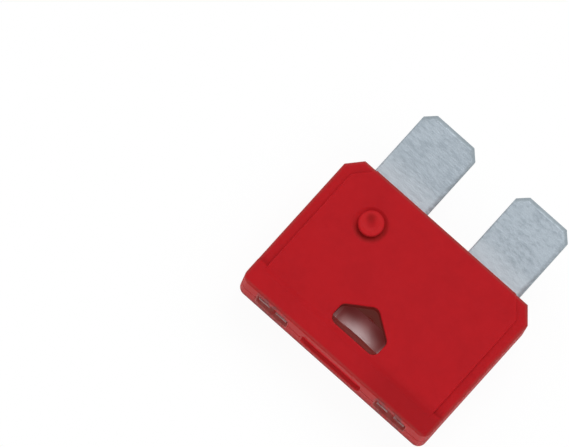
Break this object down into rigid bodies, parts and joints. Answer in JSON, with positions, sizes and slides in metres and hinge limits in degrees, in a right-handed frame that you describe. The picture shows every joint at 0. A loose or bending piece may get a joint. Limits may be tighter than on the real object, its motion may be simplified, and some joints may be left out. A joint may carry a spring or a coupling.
{
  "type": "automotive blade fuse",
  "caption": "Plug-in blade fuse: a flat red housing of staked halves around a stamped metal element with flat blades, its link seen through a window.",
  "frame": {"origin": "under the middle of the whole fuse, on the surface on which it lies", "axes": "+Y along the fuse towards the head of the housing, away from the blades; +X across the two blades, to the right as the front face is seen with its head up; +Z out of the front face"},
  "size_m": [0.0184, 0.0196, 0.0055],
  "materials": {
    "housing_plastic": "opaque red moulded nylon, satin",
    "element_metal": "dull tin-plated zinc, mottled blue-grey"
  },
  "bodies": {
    "root": {"housing_front": "housing_plastic", "housing_rear": "housing_plastic", "fuse_element": "element_metal"}
  },
  "joints": []
}
